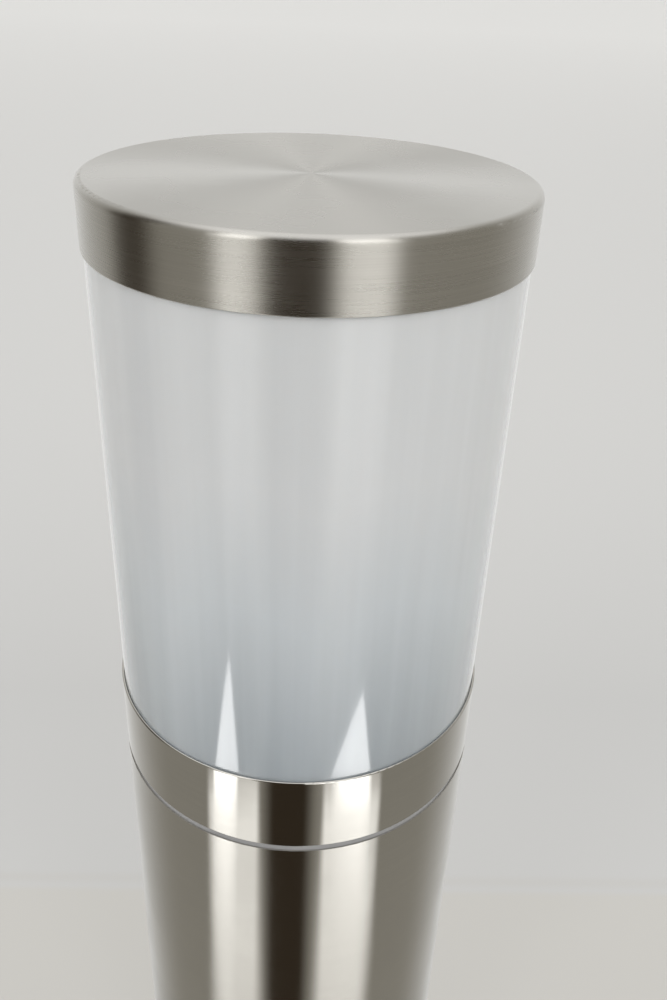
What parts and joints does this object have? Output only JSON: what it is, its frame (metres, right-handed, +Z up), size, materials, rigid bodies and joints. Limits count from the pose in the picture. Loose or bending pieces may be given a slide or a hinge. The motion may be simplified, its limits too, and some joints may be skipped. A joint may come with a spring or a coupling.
{
  "type": "bollard light",
  "caption": "Round stainless steel bollard light with an opal diffuser, a bayonet head that lifts off, a screw-in lamp and a round ground flange.",
  "frame": {"origin": "on the ground in the centre of the flange", "axes": "+Z up the post, +Y towards the back of the terminal bracket and one anchor hole, +X to the right"},
  "size_m": [0.127, 0.127, 0.45],
  "materials": {
    "cap_steel": "turned brushing on the flat top, brushed round the skirt",
    "collar_steel": "brushed round the collar",
    "post_steel": "brushed, satin",
    "flange_steel": "brushed, satin",
    "opal": "opal, glossy",
    "seal_grey": "matte grey",
    "gasket_black": "matte black",
    "fixing_steel": "bright stainless",
    "sheet_zinc": "zinc plated, satin",
    "moulding_grey": "fine grained dark grey moulding",
    "ring_white": "satin white moulding",
    "porcelain": "glazed white",
    "brass_fitting": "satin brass",
    "contact_nickel": "nickel plated",
    "block_white": "translucent white moulding",
    "lamp_dome_opal": "frosted white",
    "lamp_housing_white": "satin white",
    "lamp_cap_metal": "bright rolled",
    "lamp_insulator_black": "black",
    "board_aluminium": "white solder mask",
    "led_yellow": "yellow phosphor",
    "lead_brown": "satin",
    "lead_blue": "satin",
    "lead_green_yellow": "satin"
  },
  "bodies": {
    "post": {"post_tube": "post_steel", "spigot": "moulding_grey", "post_tabs": "sheet_zinc", "spigot_screws": "fixing_steel", "bracket_screws": "fixing_steel", "holder_bracket": "sheet_zinc", "lampholder_body": "porcelain", "lampholder_cap": "porcelain", "screw_shell": "contact_nickel", "centre_contact": "brass_fitting", "contact_rivets": "contact_nickel", "holder_terminals": "brass_fitting", "terminal_grubs": "fixing_steel", "nipple": "sheet_zinc", "nipple_nut": "sheet_zinc", "base_flange": "flange_steel", "backing_plate": "sheet_zinc", "ground_gasket": "gasket_black", "cable_grommet": "gasket_black", "terminal_bracket": "sheet_zinc", "bracket_foot_screws": "fixing_steel", "terminal_block": "block_white", "block_poles": "brass_fitting", "pole_screws": "fixing_steel", "block_screws": "fixing_steel", "cable_clamp": "moulding_grey", "clamp_screws": "fixing_steel", "earth_ring": "contact_nickel", "earth_screw": "brass_fitting", "live_lead": "lead_brown", "neutral_lead": "lead_blue", "earth_lead": "lead_green_yellow"},
    "seal": {"seam_seal": "seal_grey"},
    "head": {"top_cap": "cap_steel", "cap_stud": "fixing_steel", "cap_gasket": "gasket_black", "diffuser": "opal", "sealing_washer": "gasket_black", "cap_nut": "fixing_steel", "collar": "collar_steel", "bayonet_ring": "ring_white"},
    "lamp_foot": {"lamp_contact": "contact_nickel", "lamp_insulator": "lamp_insulator_black"},
    "lamp": {"lamp_screw_cap": "lamp_cap_metal", "lamp_housing": "lamp_housing_white", "lamp_dome": "lamp_dome_opal", "led_board": "board_aluminium", "led_chips": "led_yellow"}
  },
  "joints": [
    {"name": "head_turn", "type": "hinge", "parent": "post", "child": "seal", "pos_m": [0, 0, 0.3316], "axis": [0, 0, 1], "range_deg": [-28, 0]},
    {"name": "head_lift", "type": "slide", "parent": "seal", "child": "head", "axis": [0, 0, 1], "range_m": [0, 0.12]},
    {"name": "lamp_lift", "type": "slide", "parent": "post", "child": "lamp_foot", "axis": [0, 0, 1], "range_m": [0, 0.0182]},
    {"name": "lamp_turn", "type": "hinge", "parent": "lamp_foot", "child": "lamp", "pos_m": [0, 0, 0.31], "axis": [0, 0, 1], "range_deg": [0, 1800]}
  ],
  "couplings": [
    {"joint": "lamp_lift", "follows": "lamp_turn", "m_per_rad": 0.00057757}
  ]
}
